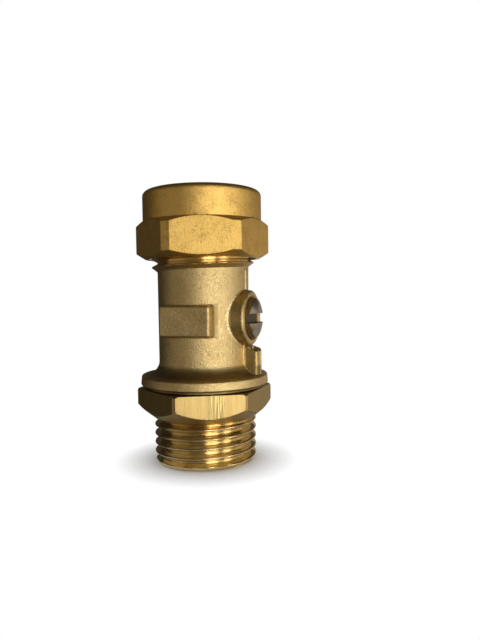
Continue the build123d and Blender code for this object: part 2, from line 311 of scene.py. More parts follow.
def barBrass():
    material, graph, point = startFinish("barBrass")
    look = barLook
    x, y, z = graph.axes(point)
    turn = math.radians(barTurn)
    outward = x * math.cos(turn) + y * math.sin(turn)
    aside = y * math.cos(turn) - x * math.sin(turn)
    marked = aside.within(*look["marksAside"]) * outward.calc("GREATER_THAN", look["marksReach"])
    lines = noise(graph, stretched(graph, point, (1.0, 1.0, 0.01)), look["markScale"], 2.0)
    marks = marked * ((lines - 0.5) * 5.0).held(0.0, 0.5)
    streaks = noise(graph, stretched(graph, point, (1.0, 1.0, 0.03)), look["streakScale"], 3.0, 0.7)
    turning = noise(graph, stretched(graph, point, (0.02, 0.02, 1.0)), look["turningScale"], 2.0, 0.7)
    cloud = noise(graph, point, look["cloudScale"], 4.0, 0.6)
    grain = noise(graph, point, look["grainScale"], 3.0, 0.6)
    onBar = z.within(*look["drawnHeight"])
    onTurned = 1 - onBar
    wear = onBar * ((streaks - 0.5) * 1.1 + (grain - 0.5) * 1.6)
    dullness = ((cloud - 0.45) * 1.8 + wear).held()
    bar = graph.blendColour(marked, look["drawn"], look["freshDrawn"])
    bright = graph.blendColour(onBar, look["turned"], bar)
    colour = graph.blendColour(dullness, bright, look["dull"])
    colour = graph.blendColour(marks, colour, look["groove"])
    barRoughness = look["roughness"] + (streaks - 0.5) * 0.25
    turnedRoughness = look["turnedRoughness"] + (cloud - 0.5) * 0.08
    relief = onBar * streaks * 0.9 + onTurned * turning * 0.8 + cloud * 0.4 - marks * 1.5
    closeFinish(graph, colour, onBar * barRoughness + onTurned * turnedRoughness, relief, look["bump"])
    return material


platedLook = {
    "plate": (0.52, 0.46, 0.39, 1),
    "cloudy": (0.28, 0.24, 0.19, 1),
    "brass": (0.13, 0.09, 0.04, 1),                # painted shade: bare brass darkened down in the slot
    "brightBrass": (0.85, 0.60, 0.24, 1),
    "brightEnd": (2.7, 9.0, 0.8),                  # painted highlight on the far end of the slot
    "sideBrass": (0.34, 0.24, 0.12, 1),            # painted shade: the side of the head, down in the crevice inside the boss, is dark brown
    "sideFrom": 3.82,
    "roughness": 0.27,
    "cloudScale": 0.7,
    "brushScale": 7.0,
    "bump": 0.00002,
}


def platedSpindle():
    material, graph, point = startFinish("platedSpindle")
    look = platedLook
    x, y, z = graph.axes(point)
    up = z - ballHeight
    inSlot = abs(up).within(-1.0, slotHalfWidth + 0.03, 0.05) * x.within(slotFloor - 0.2, 14.0, 0.05)
    cloud = noise(graph, point, look["cloudScale"], 4.0, 0.6)
    brushed = noise(graph, stretched(graph, point, (1.0, 0.15, 1.0)), look["brushScale"], 2.0)
    plate = graph.blendColour(((cloud - 0.4) * 2.5).held(), look["plate"], look["cloudy"])
    # painted shade down in the slot, with a painted highlight on its far end
    slotShadeAndHighlight = graph.blendColour(y.within(*look["brightEnd"]), look["brass"], look["brightBrass"])
    # painted shade on the side of the head, in the crevice inside the boss, which also gets more roughness
    # and less bump
    side = ring(y, up).calc("GREATER_THAN", look["sideFrom"])
    colour = graph.blendColour(inSlot, graph.blendColour(side, plate, look["sideBrass"]), slotShadeAndHighlight)
    roughness = look["roughness"] + (cloud - 0.5) * 0.2 + inSlot * 0.12 + side * 0.25
    closeFinish(graph, colour, roughness, (brushed * 0.6 + cloud) * (1 - side * 0.8), look["bump"])
    return material


innerLooks = {                                     # finishes of the pieces inside, by slot
    "olive_brass": {"name": "oliveBrass", "bright": (0.86, 0.60, 0.19, 1), "dull": (0.70, 0.45, 0.13, 1),
                    "roughness": 0.28, "metallic": 1.0, "scale": 0.5, "bump": 0.00003},
    "ball_plating": {"name": "ballChrome", "bright": (0.80, 0.80, 0.80, 1), "dull": (0.66, 0.66, 0.67, 1),
                     "roughness": 0.10, "metallic": 1.0, "scale": 0.3, "bump": 0.000004},
    "seat_plastic": {"name": "seatPlastic", "bright": (0.86, 0.86, 0.83, 1), "dull": (0.74, 0.74, 0.70, 1),
                     "roughness": 0.42, "metallic": 0.0, "scale": 0.6, "bump": 0.00002},
    "seal_rubber": {"name": "sealRubber", "bright": (0.025, 0.025, 0.025, 1), "dull": (0.05, 0.05, 0.05, 1),
                    "roughness": 0.5, "metallic": 0.0, "scale": 0.8, "bump": 0.00002},
}


def innerFinish(name, bright, dull, roughness, metallic, scale, bump):
    material, graph, point = startFinish(name)
    cloud = noise(graph, point, scale, 4.0, 0.6)
    fine = noise(graph, point, scale * 9, 2.0, 0.6)
    colour = graph.blendColour(((cloud - 0.35) * 2.5).held(), bright, dull)
    closeFinish(graph, colour, roughness + (cloud - 0.5) * 0.15, cloud + fine * 0.4, bump, metallic)
    return material


finishes = {
    "forged_brass": forgedBrass(),
    "nut_brass": nutBrass(),
    "machined_brass": barBrass(),
    "plating": platedSpindle(),
}
finishes.update({slot: innerFinish(**look) for slot, look in innerLooks.items()})
print("stage: finishes made")


# Shared shapes: their sizes are in millimetres, in the frame of the whole valve

def addObject(name, mesh):
    piece = bpy.data.objects.new(name, mesh)
    bpy.context.scene.collection.objects.link(piece)
    return piece


def startTree(name, sizes):
    tree = bpy.data.node_groups.new(name, "GeometryNodeTree")
    tree.interface.new_socket("Geometry", in_out="INPUT", socket_type="NodeSocketGeometry")
    for label in sizes:
        tree.interface.new_socket(label, in_out="INPUT", socket_type="NodeSocketFloat")
    tree.interface.new_socket("Geometry", in_out="OUTPUT", socket_type="NodeSocketGeometry")
    graph = Graph(tree)
    inputs = graph.add("NodeGroupInput")
    return graph, {label: graph.wire(inputs, label) for label in ("Geometry", *sizes)}


def closeTree(graph, geometry, material):
    real = graph.add("GeometryNodeRealizeInstances", None, {0: geometry})
    painted = graph.add("GeometryNodeSetMaterial", None, {0: graph.wire(real), "Material": material})
    graph.add("NodeGroupOutput", None, {0: graph.wire(painted)})


def bakedPiece(name, tree, sizes, mesh=None):      # runs a tree once and keeps what it makes as a plain mesh
    carrier = addObject(name + "Carrier", mesh or bpy.data.meshes.new(name + "Source"))
    modifier = carrier.modifiers.new("shape", "NODES")
    modifier.node_group = tree
    for item in tree.interface.items_tree:
        if item.in_out == "INPUT" and item.name in sizes:
            modifier[item.identifier] = float(sizes[item.name])
    evaluated = carrier.evaluated_get(bpy.context.evaluated_depsgraph_get())
    made = bpy.data.meshes.new_from_object(evaluated)
    made.name = name
    bpy.data.objects.remove(carrier)
    return addObject(name, made)


def thinned(piece, keptTriangles):                 # flat stretches lose faces, edges keep them
    triangles = sum(len(face.vertices) - 2 for face in piece.data.polygons)
    modifier = piece.modifiers.new("fewer", "DECIMATE")
    modifier.ratio = min(1.0, keptTriangles / triangles)
    evaluated = piece.evaluated_get(bpy.context.evaluated_depsgraph_get())
    mesh = bpy.data.meshes.new_from_object(evaluated)
    piece.modifiers.clear()
    piece.data = mesh
    print("stage:", piece.name, "has", len(mesh.polygons), "faces")
    return piece


def grownPiece(name, sizes, shape, material, low, high, voxel, keptTriangles):
    # shape gives the distance to the skin at every point, below 0 inside, and the skin is drawn where it is 0
    graph, values = startTree(name + "Shape", sizes)
    x, y, z = graph.axes(graph.wire(graph.add("GeometryNodeInputPosition")))
    sockets = {"Density": 1 - shape(graph, x, y, z, values), "Min": low, "Max": high}
    for key, axis in enumerate("XYZ"):
        sockets["Resolution " + axis] = int((high[key] - low[key]) / voxel)
    cube = graph.add("GeometryNodeVolumeCube", None, sockets)
    skin = graph.add("GeometryNodeVolumeToMesh", None, {"Volume": graph.wire(cube), "Threshold": 1.0})
    metres = graph.add("GeometryNodeTransform", None, {0: graph.wire(skin), "Scale": (millimetre,) * 3})
    smooth = graph.add("GeometryNodeSetShadeSmooth", None, {0: graph.wire(metres)})
    closeTree(graph, graph.wire(smooth), material)
    return thinned(bakedPiece(name, graph.tree, sizes), keptTriangles)


def both(first, second, edge=0.0):                 # inside both, with a round edge where they end
    first = first + edge
    second = second + edge
    outside = (first.atLeast(0.0) * first.atLeast(0.0) + second.atLeast(0.0) * second.atLeast(0.0)).root()
    return outside + first.atLeast(second).atMost(0.0) - edge


def joined(first, second, fillet):
    return first.calc("SMOOTH_MIN", second, fillet)


def without(solid, hole, edge):
    return solid.calc("SMOOTH_MAX", -hole, edge)


# Valve body: the forging below the threaded end, with its boss, stop lug and spanner pads

bodySizes = {
    "Top": 38.6,                                   # the threaded end goes on from here
    "Flange radius": 12.88,
    "Flange middle": 16.70,
    "Flange half height": 0.96,
    "Flange taper": 0.09,
    "Flange edge": 0.3,
    "Flange fillet": 0.25,
    "Neck radius": 9.21,
    "Foot fillet": 2.75,
    "Foot fillet radius": 11.96,
    "Foot fillet height": 20.51,
    "Boss radius": 5.5,
    "Boss reach": 10.5,
    "Boss edge": 0.55,
    "Boss fillet": 0.35,
    "Lug reach": 11.9,
    "Lug half width": 1.6,
    "Lug edge": 0.55,
    "Lug fillet": 0.3,
    "Lug top": 23.45,
    "Lug top reach": 9.3,                          # where Lug top is measured
    "Lug top slope": 0.36,
    "Lug top tilt": 0.1,                           # it rises to one side
    "Lug top edge": 0.3,
    "Flash aside": 0.38,                           # the parting line's ridge on the lug
    "Flash half width": 0.3,
    "Flash height": 0.22,
    "Flash drop": 0.2,
    "Flash edge": 0.25,
    "Bead radius": 0.3,
    "Bead fillet": 0.15,
    "Pad reach": 9.8,
    "Pad half width": 5.25,
    "Pad half height": 3.0,
    "Pad drop": 0.3,                               # how far the pads' middle lies under the spindle
    "Pad draft": math.tan(math.radians(3.0)),
    "Pad side edge": 0.5,
    "Pad face edge": 0.45,
    "Pad fillet": 0.3,
    "Parting reach": 9.41,
    "Parting half width": 0.5,
    "Parting front foot": 34.0,                    # in front it shows only above the boss
    "Parting start": 1.0,                          # the line leaves the middle free
    "Parting edge": 0.2,
    "Fine fillet": 0.12,
    "Waviness": 0.05,
    "Waviness scale": 0.45,
    "Tail hole radius": 8.05,
    "Tail hole top": 21.2,
    "Chamber radius": 6.7,
    "Chamber top": 34.6,
    "Socket foot": 36.8,
    "Recess radius": 4.7,
    "Recess reach": 8.5,
    "Spindle hole radius": 4.0,
    "Lip step radius": 4.55,                       # the lip, a piece of its own, fills this step
    "Lip step reach": 9.8,
    "Hole edge": 0.2,
}
bodyGrid = {"low": (-13.3, -13.3, 15.2), "high": (13.3, 13.3, 38.9), "voxel": 0.14, "keptTriangles": 190000}
flashBeads = ((10.1, -1.5, 23.25), (10.8, -0.9, 23.35))     # between lug and boss


def lugShape(x, y, z, size):
    lug = both(abs(y) - size["Lug half width"], x - size["Lug reach"], size["Lug edge"]).atLeast(-x)
    lugTop = size["Lug top"] - (x - size["Lug top reach"]) * size["Lug top slope"]
    lugTop = lugTop + (y + size["Lug half width"]) * size["Lug top tilt"]
    lug = both(lug, z - lugTop, size["Lug top edge"])
    flash = both(abs(y - size["Flash aside"]) - size["Flash half width"],
                 x - size["Lug reach"] - size["Flash height"], size["Flash edge"])
    lug = joined(lug, flash.atLeast(-x).atLeast(z - lugTop + size["Flash drop"]), size["Fine fillet"])
    for spot in flashBeads:
        bead = ring(ring(x - spot[0], y - spot[1]), z - spot[2]) - size["Bead radius"]
        lug = joined(lug, bead, size["Bead fillet"])
    return lug


def padShape(x, y, z, size):
    draft = (size["Pad reach"] - abs(y)) * size["Pad draft"]
    padMiddle = ballHeight - size["Pad drop"]
    sides = both(abs(x) - size["Pad half width"] - draft,
                 abs(z - padMiddle) - size["Pad half height"] - draft, size["Pad side edge"])
    return both(sides, abs(y) - size["Pad reach"], size["Pad face edge"])


def partingShape(x, y, z, size):
    behind = (x + size["Parting start"]).atLeast(size["Foot fillet height"] - z)
    front = (size["Parting start"] - x).atLeast(size["Parting front foot"] - z)
    line = both(abs(y) - size["Parting half width"], abs(x) - size["Parting reach"], size["Parting edge"])
    return line.atLeast(behind.atMost(front))


def bodyHoles(x, y, z, size):
    acrossPipe = ring(x, y)
    acrossSpindle = ring(y, z - ballHeight)
    holes = acrossPipe - waterwayRadius
    for hole in (both(acrossPipe - size["Tail hole radius"], z - size["Tail hole top"]),
                 both(acrossPipe - size["Chamber radius"], z - size["Chamber top"]),
                 both(acrossPipe - socketRadius, size["Socket foot"] - z),
                 both(both(acrossSpindle - size["Recess radius"], x - size["Recess reach"]), -x),
                 both(acrossSpindle - size["Spindle hole radius"], -x),
                 both(acrossSpindle - size["Lip step radius"], size["Lip step reach"] - x)):
        holes = holes.atMost(hole)
    return holes


def forging(graph, x, y, z, size):
    acrossPipe = ring(x, y)
    acrossSpindle = ring(y, z - ballHeight)
    aboveFlange = z - size["Flange middle"]
    flange = both(acrossPipe - size["Flange radius"] + aboveFlange * size["Flange taper"],
                  abs(aboveFlange) - size["Flange half height"], size["Flange edge"])
    fromFoot = acrossPipe - size["Foot fillet radius"]
    aboveFoot = z - size["Foot fillet height"]
    foot = (size["Foot fillet"] - ring(fromFoot, aboveFoot)).atLeast(fromFoot).atLeast(aboveFoot)
    solid = joined((acrossPipe - size["Neck radius"]).atMost(foot), flange, size["Flange fillet"])
    boss = both(acrossSpindle - size["Boss radius"], x - size["Boss reach"], size["Boss edge"]).atLeast(-x)
    solid = joined(solid, boss, size["Boss fillet"])
    solid = joined(solid, lugShape(x, y, z, size), size["Lug fillet"])
    solid = joined(solid, padShape(x, y, z, size), size["Pad fillet"])
    solid = joined(solid, partingShape(x, y, z, size), size["Fine fillet"])
    place = graph.add("ShaderNodeCombineXYZ", None, {"X": x, "Y": y, "Z": z})
    waves = noise(graph, graph.wire(place), size["Waviness scale"], 2.0) - 0.5
    solid = (solid + waves * size["Waviness"]).atLeast(z - size["Top"])
    return without(solid, bodyHoles(x, y, z, size), size["Hole edge"])


valveBody = grownPiece("valveBody", bodySizes, forging, finishes["forged_brass"], **bodyGrid)
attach(valveBody, "valve")
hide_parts("valve_body")


# Turned pieces: rings of points round the pipe's axis, with the flats and the thread cut into them

hexCorner = math.pi / 3                            # from one corner of a hexagon to the next


def hexColumns(turn, across, corner, columns):     # angles round the pipe, with two close ones at every edge
    start = math.radians(turn)
    edge = math.atan((corner - across * math.cos(hexCorner / 2)) / (across * math.sin(hexCorner / 2)))
    angles = list(start + np.arange(columns) * 2 * math.pi / columns)
    for side in range(6):
        for share in (-edge, edge):
            angles += [start + side * hexCorner + share + nudge for nudge in (-0.004, 0.004)]
    return np.unique(np.round(np.mod(angles, 2 * math.pi), 5))


def hexRadius(angles, turn, across, corner):       # from the axis to the flats and the broken corners
    fromFlat = np.mod(angles - math.radians(turn) + hexCorner / 2, hexCorner) - hexCorner / 2
    flat = across / np.cos(fromFlat)
    broken = corner / np.cos(hexCorner / 2 - np.abs(fromFlat))
    return np.minimum(flat, broken)


def rings(columns, first, last, count):            # count rings from first up to but not including last
    share = np.linspace(0.0, 1.0, count, endpoint=False)[:, None]
    start, end = (np.stack([np.broadcast_to(part, columns) for part in ends]) for ends in (first, last))
    radius = start[0] + (end[0] - start[0]) * share
    height = start[1] + (end[1] - start[1]) * share
    return np.stack([radius, height], axis=2)


def turnedMesh(name, angles, rows):
    rows = np.concatenate(rows)
    ringCount, columns = rows.shape[:2]
    x = rows[:, :, 0] * np.cos(angles)
    y = rows[:, :, 0] * np.sin(angles)
    points = np.stack([x, y, rows[:, :, 1]], axis=2).reshape(-1, 3) * millimetre
    row, column = np.meshgrid(np.arange(ringCount), np.arange(columns), indexing="ij")
    nextRow, nextColumn = (row + 1) % ringCount, (column + 1) % columns
    corners = [row * columns + column, row * columns + nextColumn,
               nextRow * columns + nextColumn, nextRow * columns + column]
    faces = np.stack(corners, axis=2).reshape(-1, 4)
    mesh = bpy.data.meshes.new(name + "Turned")
    mesh.from_pydata(points.tolist(), [], faces.tolist())
    mesh.shade_smooth()
    return mesh


def outline(columns, *corners):                    # each corner: radius, height, rings up to the next one
    return [rings(columns, start[:2], end[:2], start[2]) for start, end in zip(corners, corners[1:])]


threadShape = {
    "Pitch": threadPitch,
    "Depth": 1.162,
    "Flank slope": 1 / math.tan(math.radians(27.5)),
    "Truncation": 0.16008,                         # taken off each crest, as a share of the pitch
    "Rounding": 0.34,
    "Crest radius": threadRadius,
    "Innermost radius": 8.8,                       # points nearer to the axis belong to the bore
    "End": 60.0,                                   # the thread fades out just below this height
    "Fade": 0.5,
    "Ends in neck": 0.0,                           # 1: below its first crest the thread falls off to the neck
    "Neck slope": 1.4,
    "Neck depth": 1.1,
}


def threadTree(name, sizes, material):
    graph, size = startTree(name + "Thread", sizes)
    place = graph.wire(graph.add("GeometryNodeInputPosition"))
    scaled = graph.add("ShaderNodeVectorMath", {"operation": "SCALE"}, {0: place, "Scale": 1 / millimetre})
    x, y, z = graph.axes(graph.wire(scaled))
    radius = ring(x, y)
    turn = y.calc("ARCTAN2", x) / (2 * math.pi)
    phase = (z - size["Crest height"]) / size["Pitch"] - turn + 0.5
    fromCrest = abs(phase.calc("FRACT") - 0.5) * size["Pitch"]
    flank = fromCrest * size["Flank slope"] - size["Pitch"] * size["Truncation"]
    drop = flank.calc("SMOOTH_MAX", 0.0, size["Rounding"]).calc("SMOOTH_MIN", size["Depth"], size["Rounding"])
    below = (0.5 - phase) * size["Pitch"]          # how far under the first crest
    ending = size["Ends in neck"] * below.calc("GREATER_THAN", 0.0)
    neckDrop = (below * size["Neck slope"]).calc("SMOOTH_MIN", size["Neck depth"], size["Rounding"])
    drop = drop * (1 - ending) + neckDrop.atLeast(0.0) * ending
    cut = (radius - (size["Crest radius"] - drop)).atLeast(0.0)
    fade = ((size["End"] - z) / size["Fade"]).held()
    share = 1 - cut * fade * radius.calc("GREATER_THAN", size["Innermost radius"]) / radius
    moved = graph.add("ShaderNodeCombineXYZ", None,
                      {"X": x * share * millimetre, "Y": y * share * millimetre, "Z": z * millimetre})
    shifted = graph.add("GeometryNodeSetPosition", None, {0: size["Geometry"], "Position": graph.wire(moved)})
    closeTree(graph, graph.wire(shifted), material)
    return graph.tree


def keepEdges(piece, degrees):                     # shading breaks only at edges sharper than this
    piece.data.set_sharp_from_angle(angle=math.radians(degrees))
    print("stage:", piece.name, "has", len(piece.data.polygons), "faces")


# Threaded end of the body, from the thread's lower end on the neck to the mouth that holds the olive

threadedEndSizes = {
    "columns": 540,
    "foot": 38.1,                                  # hidden in the forging
    "footDepth": 0.1,                              # under the neck's skin
    "footBore": 7.8,
    "threadFoot": 38.3,
    "threadTop": 45.4,
    "rimRadius": 9.75,
    "top": 46.0,
    "oliveMouth": 8.697,                           # cone for the olive
    "oliveFoot": 44.1,
    "socketFoot": 38.6,
}


def threadedEnd():
    size = threadedEndSizes
    columns = size["columns"]
    angles = np.arange(columns) * 2 * math.pi / columns
    hidden = bodySizes["Neck radius"] - size["footDepth"]
    rows = outline(columns,
                   (hidden, size["foot"], 1),
                   (hidden, size["threadFoot"] - 0.02, 1),
                   (threadRadius, size["threadFoot"], 92),
                   (threadRadius, size["threadTop"], 8),
                   (size["rimRadius"], size["top"], 4),
                   (size["oliveMouth"], size["top"], 6),
                   (socketRadius, size["oliveFoot"], 6),
                   (socketRadius, size["socketFoot"], 1),
                   (size["footBore"], size["socketFoot"] - 0.2, 1),
                   (hidden, size["foot"]))
    mesh = turnedMesh("threadedEnd", angles, rows)
    sizes = {**threadShape, "Crest height": firstCrest, "Ends in neck": 1.0}
    return bakedPiece("threadedEnd", threadTree("threadedEnd", sizes, finishes["forged_brass"]), sizes, mesh)


threadedEndPiece = threadedEnd()
keepEdges(threadedEndPiece, 40)
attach(threadedEndPiece, "valve")


# Lip of the boss: the flat ring and the countersink round the spindle

lipSizes = {
    "columns": 144,
    "outer": 4.95,
    "face": 10.51,
    "mouthEdge": 4.48,
    "mouth": 4.37,
    "mouthDrop": 0.08,
    "hole": 3.99,
    "countersinkEnd": 10.08,
    "back": 9.6,
}


def bossLip():
    size = lipSizes
    columns = size["columns"]
    angles = np.arange(columns) * 2 * math.pi / columns
    rows = outline(columns,
                   (size["outer"], size["face"], 4),
                   (size["mouthEdge"], size["face"], 3),
                   (size["mouth"], size["face"] - size["mouthDrop"], 5),
                   (size["hole"], size["countersinkEnd"], 3),
                   (size["hole"], size["back"], 1),
                   (size["outer"], size["back"], 3),
                   (size["outer"], size["face"]))
    mesh = turnedMesh("bossLip", angles, rows)
    mesh.transform(Matrix.Translation((0, 0, ballHeight * millimetre)) @ Matrix.Rotation(math.pi / 2, 4, "Y"))
    mesh.materials.append(finishes["forged_brass"])
    return addObject("bossLip", mesh)


lipPiece = bossLip()
keepEdges(lipPiece, 35)
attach(lipPiece, "valve")


# Tail connector: end face, male thread, hexagon, spigot, nose and bore

tailSizes = {
    "columns": 480,
    "across": 12.0,
    "corner": 13.665,
    "cornerRound": 13.72,
    "hexBottom": 9.2,
    "hexTop": 15.0,
    "coneSlope": math.tan(math.radians(39.0)),
    "topBreak": 0.25,
    "crestHeight": 1.158,
    "endRadius": 9.75,
    "endChamfer": 1.0,
    "spigotRadius": 8.0,
    "spigotTop": 21.0,
    "noseRadius": 6.65,
    "noseTop": 23.4,
    "bore": 7.0,
    "boreTop": 14.2,
    "waterwayFoot": 15.64,
    "chamfer": 0.4,
}


def tailConnector():
    size = tailSizes
    angles = hexColumns(barTurn, size["across"], size["corner"], size["columns"])
    columns = len(angles)
    flats = hexRadius(angles, barTurn, size["across"], size["corner"])
    coneTop = size["hexBottom"] + (size["cornerRound"] - threadRadius) * size["coneSlope"]
    cone = rings(columns, (threadRadius, size["hexBottom"]), (size["cornerRound"], coneTop), 30)
    cone[:, :, 0] = np.minimum(cone[:, :, 0], flats)
    topRadius = np.minimum(flats, size["cornerRound"] - size["topBreak"])
    chamfer = size["chamfer"]
    thread = outline(columns,
                     (size["bore"] + chamfer, 0.0, 1),
                     (size["endRadius"], 0.0, 14),
                     (threadRadius, size["endChamfer"], 106),
                     (threadRadius, size["hexBottom"]))
    rest = outline(columns,
                   (flats, coneTop, 5),
                   (flats, size["hexTop"] - size["topBreak"], 3),
                   (topRadius, size["hexTop"], 5),
                   (size["spigotRadius"], size["hexTop"], 4),
                   (size["spigotRadius"], size["spigotTop"] - chamfer, 1),
                   (size["spigotRadius"] - chamfer, size["spigotTop"], 1),
                   (size["noseRadius"], size["spigotTop"], 2),
                   (size["noseRadius"], size["noseTop"], 2),
                   (waterwayRadius, size["noseTop"], 3),
                   (waterwayRadius, size["waterwayFoot"], 3),
                   (size["bore"], size["boreTop"], 8),
                   (size["bore"], chamfer, 2),
                   (size["bore"] + chamfer, 0.0))
    mesh = turnedMesh("tailConnector", angles, thread + [cone] + rest)
    sizes = {**threadShape, "Crest height": size["crestHeight"], "End": size["hexBottom"] + 0.05}
    tree = threadTree("tailConnector", sizes, finishes["machined_brass"])
    return bakedPiece("tailConnector", tree, sizes, mesh)


tailPiece = tailConnector()
keepEdges(tailPiece, 30)
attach(tailPiece, "valve")
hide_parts("tail_connector")


# Compression nut: hexagon with a round collar above, plain bore, cone for the olive and hole for the pipe

nutSizes = {
    "columns": 480,
    "turn": -67.6,
    "across": 12.0,
    "corner": 13.33,
    "cornerRound": 13.36,
    "bottom": 40.9,
    "top": 54.398,
    "lowerConeRadius": 11.6,
    "lowerConeHeight": 1.1,
    "lowerEdge": 0.25,
    "collar": 11.96,
    "collarEdge": 1.1,
    "shoulder": 48.42,
    "shoulderSlope": 0.68,
    "shoulderEdge": 0.3,
    "bore": 10.5,
    "oliveMouth": 9.2,                             # cone that presses on the olive
    "oliveTop": 52.468,
    "oliveAngle": 30.0,
    "hole": 7.75,
    "chamfer": 0.4,
}


def softMinimum(first, second, width):
    overlap = np.maximum(width - np.abs(first - second), 0.0) / width
    return np.minimum(first, second) - overlap ** 3 * width / 6


def compressionNut():
    size = nutSizes
    angles = hexColumns(size["turn"], size["across"], size["corner"], size["columns"])
    columns = len(angles)
    flats = hexRadius(angles, size["turn"], size["across"], size["corner"])
    bottom, top, collar = size["bottom"], size["top"], size["collar"]
    lowerSlope = (size["cornerRound"] - size["lowerConeRadius"]) / size["lowerConeHeight"]
    lowerTop = bottom + size["lowerConeHeight"]
    shoulderFoot = size["shoulder"] - (size["cornerRound"] - collar) * size["shoulderSlope"]
    lowerCone = rings(columns, (size["lowerConeRadius"], bottom), (size["cornerRound"], lowerTop), 22)
    lowerCone[:, :, 0] = softMinimum(lowerCone[:, :, 0], flats[None], size["lowerEdge"])
    middle = rings(columns, (flats, lowerTop), (flats, shoulderFoot), 40)
    lowerThere = size["lowerConeRadius"] + (middle[:, :, 1] - bottom) * lowerSlope
    shoulderThere = size["cornerRound"] + (shoulderFoot - middle[:, :, 1]) / size["shoulderSlope"]
    middle[:, :, 0] = softMinimum(middle[:, :, 0], lowerThere, size["lowerEdge"])
    middle[:, :, 0] = softMinimum(middle[:, :, 0], shoulderThere, size["shoulderEdge"])
    shoulder = rings(columns, (size["cornerRound"], shoulderFoot), (collar, size["shoulder"]), 24)
    shoulder[:, :, 0] = softMinimum(shoulder[:, :, 0], flats[None], size["shoulderEdge"])
    shoulder[:, :, 0] = np.maximum(shoulder[:, :, 0], collar)
    edge = size["collarEdge"]
    bend = np.linspace(0.0, math.pi / 2, 9)[:-1]
    rounded = np.stack([collar - edge + edge * np.cos(bend), top - edge + edge * np.sin(bend)], 1)
    rounded = np.repeat(rounded[:, None], columns, axis=1)
    oliveDepth = (size["oliveMouth"] - size["hole"]) / math.tan(math.radians(size["oliveAngle"]))
    oliveFoot = size["oliveTop"] - oliveDepth
    chamfer = size["chamfer"]
    wall = outline(columns, (collar, size["shoulder"], 8), (collar, top - edge))
    inside = outline(columns,
                     (collar - edge, top, 4),
                     (size["hole"] + chamfer, top, 2),
                     (size["hole"], top - chamfer, 2),
                     (size["hole"], size["oliveTop"], 2),
                     (size["oliveMouth"], oliveFoot, 2),
                     (size["bore"], oliveFoot, 4),
                     (size["bore"], bottom + chamfer, 2),
                     (size["bore"] + chamfer, bottom, 2),
                     (size["lowerConeRadius"], bottom))
    mesh = turnedMesh("compressionNut", angles, [lowerCone, middle, shoulder] + wall + [rounded] + inside)
    mesh.materials.append(finishes["nut_brass"])
    return addObject("compressionNut", mesh)


nutPiece = compressionNut()
keepEdges(nutPiece, 38)
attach(nutPiece, "nut")
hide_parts("compression_nut")


# Spindle: flange, seal groove, domed head with its slot, and the tang that turns the ball

spindleSizes = {
    "Radius": 3.92,
    "Flange radius": 4.6,
    "Inner end": 6.85,
    "Flange end": 7.85,
    "Groove middle": 9.45,
    "Groove half width": 0.6,
    "Groove radius": 3.0,
    "Dome radius": 8.18,
    "Apex": 12.3,
    "Tang half width": 1.2,
    "Tang half length": 2.8,
    "Tang end": 4.95,
    "Edge": 0.15,
    "Flange edge": 0.1,
    "Groove edge": 0.08,
    "Slot edge": 0.16,
}
spindleGrid = {"low": (4.7, -4.8, ballHeight - 4.8), "high": (12.6, 4.8, ballHeight + 4.8), "voxel": 0.05,
               "keptTriangles": 110000}


def spindle(graph, x, y, z, size):
    up = z - ballHeight
    across = ring(y, up)
    innerEnd = size["Inner end"] - x
    dome = ring(x - (size["Apex"] - size["Dome radius"]), across) - size["Dome radius"]
    shaft = both(both(across - size["Radius"], dome, size["Edge"]), innerEnd)
    flange = both(across - size["Flange radius"], x - size["Flange end"], size["Flange edge"])
    flange = both(flange, innerEnd, size["Flange edge"])
    groove = both(size["Groove radius"] - across, abs(x - size["Groove middle"]) - size["Groove half width"])
    slot = both(abs(up) - slotHalfWidth, slotFloor - x)
    head = without(without(shaft.atMost(flange), groove, size["Groove edge"]), slot, size["Slot edge"])
    tang = both(abs(y) - size["Tang half width"], abs(up) - size["Tang half length"], size["Edge"])
    tang = both(tang, abs(innerEnd) - (size["Inner end"] - size["Tang end"]), size["Edge"])
    return head.atMost(tang)


stemPiece = grownPiece("spindle", spindleSizes, spindle, finishes["plating"], **spindleGrid)
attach(stemPiece, "spindle")
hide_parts("stem")


# Pieces that keep their CAD meshes get their finishes

for subpart in frame["record"]["subparts"]:
    node = frame["nodes"][subpart["node"]]
    node.data.materials.clear()
    node.data.materials.append(finishes[subpart["material_slot"]])
print("stage: pieces made")


# Floor, reflection cards, light and camera

stageLook = {
    "facing": -66.3,                               # degrees from +X round to where the camera stands
    "floorRadius": 0.06,
    "floorSides": 96,
    "floorFadeStart": 0.0104,
    "floorFadeEnd": 0.0185,
    "floorColour": (0.72, 0.72, 0.72, 1),
    "floorGlow": 0.03,
    "skyLight": 0.75,
    "cardDistance": 0.5,
    "cardSteps": 24,
    "middleHeight": 0.027,
}
cards = {                                          # degrees round from the camera, heights, brightness
    "nearLeftCard": (-45.0, -3.0, -0.5, 0.55, 0.15),
    "leftCard": (-95.0, -45.0, -0.5, 0.55, 0.27),
    "darkCard": (-150.0, -95.0, -0.5, 0.55, 0.03),
    "backCard": (-180.0, -150.0, -0.5, 0.55, 0.05),
    "frontCard": (-3.0, 62.0, -0.15, 0.18, 0.55),
    "rightCard": (62.0, 104.0, -0.15, 0.18, 0.64),
    "farRightCard": (104.0, 180.0, -0.5, 0.12, 0.40),
    "farOverCard": (104.0, 180.0, 0.12, 0.55, 0.08),
    "underCard": (-3.0, 104.0, -0.5, -0.15, 0.03),
    "overCard": (-3.0, 104.0, 0.18, 0.55, 0.04),
}
lidCard = {"height": 0.30, "radius": 0.49, "brightness": 0.03}
groundCard = {"height": -0.30, "radius": 0.49, "brightness": 0.03}
cardTint = (1.0, 0.90, 0.74, 1)                    # the dark cards are brown, as a wooden room is
panels = {                                         # degrees round from the camera, width and watts
    "wideLight": (15.2, 0.205, 0.62),
    "narrowLight": (53.0, 0.133, 0.31),
}
panelPlace = {"distance": 0.42, "height": 0.015, "tall": 0.42}


def meshFrom(name, points, faces):
    mesh = bpy.data.meshes.new(name)
    mesh.from_pydata([tuple(point) for point in points], [], faces)
    return mesh


